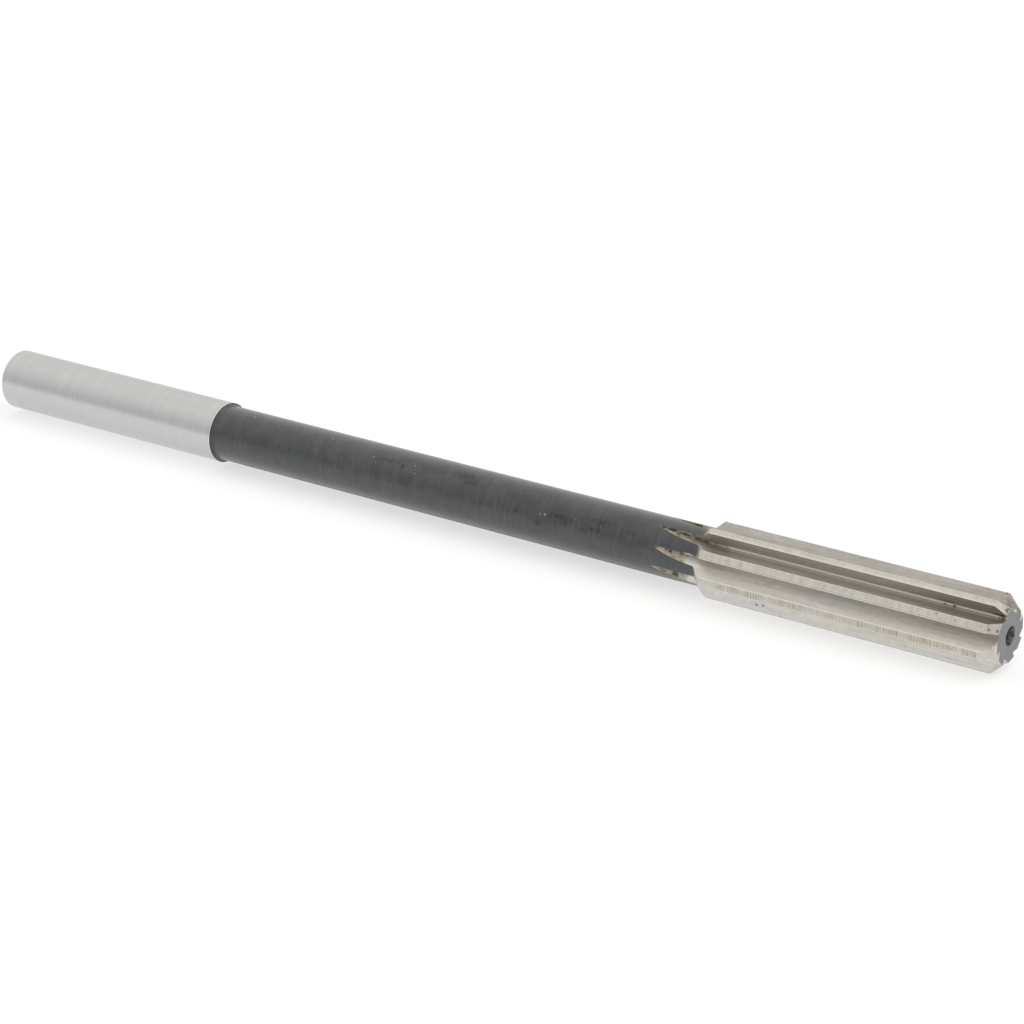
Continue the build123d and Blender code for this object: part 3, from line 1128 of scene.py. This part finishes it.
def flute_material(finish, form):
    """Flutes ground along the tool, with lines along the axis, fading into the milled run-outs."""
    paint = Paint("ground_flute")
    rough = finish.flute_roughness
    lines = paint.grain(along=90, across=2300, detail=3, roughness=0.65)
    speckle = paint.grain(along=1000, across=1900, detail=3, roughness=0.65)
    tints = paint.grain(along=60, across=1300, detail=3)
    stains = paint.grain(along=420, across=900, detail=4, roughness=0.65)
    mixed = paint.plus(paint.times(lines, 0.6), paint.times(speckle, 0.4))
    paint.shade(paint.ranged(mixed, low=0.36, high=0.64), finish.flute_steel, dark=0.84, light=1.15)
    paint.patch(tints, start=0.4, full=0.7, strength=0.45, colour=finish.warm_steel)
    paint.patch(stains, start=0.64, full=0.8, strength=0.45, colour=finish.brown)
    along = paint.along()
    tip = paint.ramp(along, form.end, GRIME_AND_SHADE_RAMP_FROM_TIP, 1.0, GRIME_AND_SHADE_GROWTH_AT_TIP)
    rear = paint.ramp(along, form.flute_start, GRIME_AND_SHADE_RAMP, 1.0, GRIME_AND_SHADE_GROWTH)
    growing = paint.most(tip, rear)
    # Grime with painted shade in the flutes, stronger towards the tip and the run-outs
    for flute, middle, width, strength in GRIME_AND_SHADE_IN_FLUTES:
        grime_and_shade_band = paint.facing(form.flutes[flute].edge_angle + radians(middle), radians(width))
        paint.lay(paint.times(grime_and_shade_band, growing, strength), finish.grime_and_shade)
    paint.mark(BROWN_IN_FLUTES, strength=0.6, colour=finish.brown, core=-0.2)
    paint.mark(DARK_IN_FLUTES, strength=0.85, colour=finish.stain)
    uneven = paint.grain(along=900, across=1400, detail=3, roughness=0.6)
    border = paint.shifted(along, uneven, MILLED_WANDER)
    milled = paint.ramp(border, form.flute_start - form.sizes.milled_stop, MILLED_RAMP_FROM_STOP)
    paint.lay(milled, milled_colour(paint, finish))
    # Painted highlight with wear along the cutting edges, heels and margins
    wear_and_highlight = paint.wear_and_highlight()
    paint.lay(paint.times(wear_and_highlight, 0.95), finish.rubbed_and_highlight_steel)
    dull = paint.most(paint.times(milled, 0.6), paint.times(wear_and_highlight, 0.75))
    return paint.finished(
        {
            "Metallic": paint.math("SUBTRACT", 1.0, dull),
            "Roughness": paint.varied(lines, rough - 0.06, rough + 0.06),
            "Anisotropic": 0.4,
            "Tangent": paint.across_grinding(),
            "Normal": paint.dented(lines, strength=0.12, depth=0.00002),
        }
    )


def land_material(finish, form):
    """Lands, back slope and lead: ground round the tool, cream in colour, with small stains and ticks."""
    paint = Paint("ground_land")
    steel, rough = finish.land_steel, finish.ground_roughness
    hatch = paint.grain(along=3200, across=60, detail=3)
    bands = paint.grain(along=1200, across=300, detail=3, roughness=0.6)
    speckle = paint.grain(along=1500, across=1900, detail=3, roughness=0.65)
    paint.shade(paint.ranged(bands, low=0.3, high=0.7), steel, dark=0.90, light=1.10)
    paint.patch(hatch, start=0.5, full=0.8, strength=0.5, colour=tinted(steel, 0.78))
    paint.patch(speckle, start=0.57, full=0.70, strength=0.6, colour=finish.speckle)
    paint.lay(chatter_ticks(paint, form), finish.tick)
    paint.mark(BROWN_ON_LANDS, strength=0.8, colour=tinted(finish.brown, 0.5))
    # Painted highlight with wear along the cutting edges, heels and margins
    wear_and_highlight = paint.wear_and_highlight()
    paint.lay(paint.times(wear_and_highlight, 0.9), finish.rubbed_and_highlight_steel)
    return paint.finished(
        {
            "Metallic": paint.ranged(wear_and_highlight, low=0.0, high=1.0, to_low=1.0, to_high=0.4),
            "Roughness": paint.varied(hatch, rough, rough + 0.12),
            "Normal": paint.dented(hatch, strength=0.25, depth=0.00002),
        }
    )


def chatter_ticks(paint, form):
    """Brown ticks along one tooth's land, uneven in their pitch and strength."""
    patches = paint.grain(along=330, across=700, detail=3)
    gaps = paint.grain(along=1050, across=350)
    along = paint.along()
    wave = paint.times(along, 2 * pi / TICK_PITCH)
    wave = paint.math("SINE", paint.shifted(wave, paint.grain(along=500, across=200), TICK_SHIFT))
    middle = form.flutes[TICKED_TOOTH].edge_angle - TICK_MIDDLE * form.sizes.land_width / form.cutting
    return paint.times(
        paint.ranged(wave, low=-0.1, high=0.8, to_low=0.2),
        paint.ranged(gaps, low=0.33, high=0.53, to_low=0.25),
        paint.ramp(along, form.lead_start, TICK_RAMP_FROM_LEAD),
        paint.ramp(along, form.flute_start, TICK_RAMP),
        paint.facing(middle, radians(TICK_HALF_WIDTH)),
        paint.ranged(patches, low=0.3, high=0.6, to_low=0.25, to_high=0.95),
    )


def end_material(finish):
    """Satin end faces."""
    paint = Paint("satin_end")
    lines = paint.grain(along=200, across=2600, detail=3)
    clouds = paint.grain(along=700, across=700, detail=4, roughness=0.6)
    paint.shade(clouds, finish.end_steel, dark=0.82, light=1.18)
    return paint.finished(
        {
            "Metallic": 1.0,
            "Roughness": paint.varied(lines, 0.38, 0.52),
            "Normal": paint.dented(lines, strength=0.15, depth=0.00002),
        }
    )


def hole_material(finish):
    """Dull steel in the centre holes, coloured far darker than the end faces."""
    paint = Paint("centre_hole")
    lines = paint.grain(along=350, across=1500, detail=3)
    paint.shade(paint.ranged(lines, low=0.35, high=0.65), finish.end_steel, dark=0.08, light=0.65)
    rough = paint.ranged(lines, low=0.3, high=0.7, to_low=0.35, to_high=0.55)
    return paint.finished({"Metallic": 0.8, "Roughness": rough})


class REAMER_OT_build_tool(bpy.types.Operator):
    """Builds the reamer in its finish, in place of its plain solid"""

    bl_idname = "reamer.build_tool"
    bl_label = "Build reamer"
    bl_options = {"REGISTER", "UNDO"}

    def execute(self, context):
        finish = context.scene.reamer_finish
        form = Form(context.scene.reamer_sizes)
        mesh = build_tool(form, "reamer_tool")
        materials = (
            shank_material(finish),
            neck_material(finish),
            groove_material(finish, form),
            flute_material(finish, form),
            land_material(finish, form),
            end_material(finish),
            hole_material(finish),
        )
        for material in materials:
            mesh.materials.append(material)
        tool = bpy.data.objects.new("reamer_tool", mesh)
        context.scene.collection.objects.link(tool)
        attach(tool, "root")
        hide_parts("reamer")
        return {"FINISHED"}


class REAMER_OT_build_stage(bpy.types.Operator):
    """Sets the floor, the light and the camera"""

    bl_idname = "reamer.build_stage"
    bl_label = "Build stage"
    bl_options = {"REGISTER", "UNDO"}

    def execute(self, context):
        stage = context.scene.reamer_stage
        self.lay_floor(context, stage)
        self.light_room(context, stage)
        self.hang_lamp(context, stage)
        self.place_camera(context, stage)
        context.scene.view_settings.view_transform = "Standard"
        return {"FINISHED"}

    def lay_floor(self, context, stage):
        """A wide pale floor just under the tool."""
        low, high, level = -FLOOR_HALF_WIDTH, FLOOR_HALF_WIDTH, CAD_BOX[0][2]
        corners = [(low, low, level), (high, low, level), (high, high, level), (low, high, level)]
        mesh = bpy.data.meshes.new("floor")
        mesh.from_pydata(corners, [], [(0, 1, 2, 3)])
        mesh.materials.append(self.floor_material(stage))
        floor = bpy.data.objects.new("floor", mesh)
        context.scene.collection.objects.link(floor)

    def floor_material(self, stage):
        """Pale paint with light of its own, for the camera and for metal that mirrors the floor, with a
        painted shadow under the neck in the mirrored light.
        """
        material = bpy.data.materials.new("floor")
        nodes = Nodes(material)
        rays = nodes.add("ShaderNodeLightPath").outputs
        seen = rays["Is Camera Ray"]
        mirrored = nodes.most(rays["Is Glossy Ray"], rays["Is Transmission Ray"])
        base = nodes.blended(seen, stage.floor_colour, tinted(WHITE, FLOOR_SEEN - stage.floor_lift))
        base = nodes.blended(mirrored, base, tinted(WHITE, FLOOR_MIRRORED - stage.floor_shine))
        along, beside, _ = nodes.axes(nodes.coordinates("Object"))
        shine = nodes.ranged(beside, *FAR_IN_FRONT, stage.floor_shine, stage.floor_far)
        # Painted shadow under the neck in the floor's mirrored light
        under = nodes.times(
            nodes.ranged(beside, *UNDER_NECK_IN_FRONT),
            nodes.ranged(beside, *UNDER_NECK_BEHIND),
            nodes.ranged(along, *UNDER_NECK_REAR),
            nodes.ranged(along, *UNDER_NECK_TIP),
        )
        shine = nodes.times(shine, nodes.ranged(under, 0.0, 1.0, 1.0, stage.floor_under), mirrored)
        lift = nodes.times(seen, stage.floor_lift)
        glow = nodes.add("ShaderNodeEmission", {"Strength": nodes.plus(shine, lift)})
        paint = nodes.add("ShaderNodeBsdfDiffuse", {"Color": base})
        both = nodes.add("ShaderNodeAddShader", {0: paint.outputs[0], 1: glow.outputs[0]})
        nodes.add("ShaderNodeOutputMaterial", {"Surface": both.outputs[0]})
        return material

    def light_room(self, context, stage):
        """Soft light from pale walls, brighter higher up, behind a white background."""
        world = bpy.data.worlds.new("room")
        nodes = Nodes(world)
        _, beside, above = nodes.axes(nodes.coordinates("Generated"))
        wall = nodes.blended(nodes.ranged(beside, *WALL_TURN), stage.front_wall, stage.back_wall)
        height = nodes.plus(above, nodes.times(beside, CEILING_TILT))
        light = nodes.blended(nodes.ranged(height, *CEILING_RISE), wall, stage.ceiling)
        seen = nodes.add("ShaderNodeLightPath").outputs["Is Camera Ray"]
        sky = nodes.add("ShaderNodeBackground", {"Color": nodes.blended(seen, light, WHITE)})
        nodes.add("ShaderNodeOutputWorld", {"Surface": sky.outputs[0]})
        context.scene.world = world

    def hang_lamp(self, context, stage):
        """A large soft lamp high up behind the tool and beyond its tip."""
        data = bpy.data.lights.new("soft_lamp", "AREA")
        data.shape = "DISK"
        data.size = stage.lamp_size
        data.energy = stage.lamp_power
        lamp = bpy.data.objects.new("soft_lamp", data)
        context.scene.collection.objects.link(lamp)
        lamp.location = LAMP_PLACE
        aim = Vector(LAMP_AIM) - lamp.location
        lamp.rotation_mode = "QUATERNION"
        lamp.rotation_quaternion = aim.to_track_quat("-Z", "Y")

    def place_camera(self, context, stage):
        """The camera where the photograph was taken from."""
        a, e = stage.azimuth, stage.elevation
        back = Vector((sin(a) * cos(e), -cos(a) * cos(e), sin(e)))
        right = Vector((cos(a), sin(a), 0.0))
        up = back.cross(right)
        middle = Vector(((CAD_BOX[0][0] + CAD_BOX[1][0]) / 2, 0.0, 0.0))
        pose = Matrix((right, up, back)).transposed().to_4x4()
        pose.translation = middle + back * stage.distance + right * stage.slide[0] + up * stage.slide[1]
        data = bpy.data.cameras.new("camera")
        data.sensor_width = SENSOR_WIDTH
        data.lens = stage.lens
        data.clip_start = CLIP_START
        data.clip_end = CLIP_END
        camera = bpy.data.objects.new("camera", data)
        context.scene.collection.objects.link(camera)
        camera.matrix_world = Matrix.Rotation(stage.turn, 4, "X") @ pose
        context.scene.camera = camera


class REAMER_PT_sidebar(bpy.types.Panel):
    """Sizes, finish and stage of the reamer"""

    bl_idname = "REAMER_PT_sidebar"
    bl_label = "Reamer"
    bl_space_type = "VIEW_3D"
    bl_region_type = "UI"
    bl_category = "Reamer"

    def draw(self, context):
        scene = context.scene
        groups = (
            ("Sizes", scene.reamer_sizes, REAMER_OT_build_tool.bl_idname),
            ("Finish", scene.reamer_finish, None),
            ("Stage", scene.reamer_stage, REAMER_OT_build_stage.bl_idname),
        )
        for title, group, operator in groups:
            box = self.layout.box()
            box.label(text=title)
            for name in group.__annotations__:
                box.prop(group, name)
            if operator:
                box.operator(operator)


CLASSES = (
    ReamerSizes,
    ReamerFinish,
    ReamerStage,
    REAMER_OT_build_tool,
    REAMER_OT_build_stage,
    REAMER_PT_sidebar,
)


def register():
    """Adds the reamer's sizes, operators and panel."""
    for cls in CLASSES:
        bpy.utils.register_class(cls)
    bpy.types.Scene.reamer_sizes = PointerProperty(type=ReamerSizes)
    bpy.types.Scene.reamer_finish = PointerProperty(type=ReamerFinish)
    bpy.types.Scene.reamer_stage = PointerProperty(type=ReamerStage)


def unregister():
    """Takes them away again."""
    del bpy.types.Scene.reamer_stage
    del bpy.types.Scene.reamer_finish
    del bpy.types.Scene.reamer_sizes
    for cls in reversed(CLASSES):
        bpy.utils.unregister_class(cls)


def main():
    """Builds the tool and its stage."""
    register()
    bpy.ops.reamer.build_tool()
    bpy.ops.reamer.build_stage()


if __name__ == "__main__":
    main()
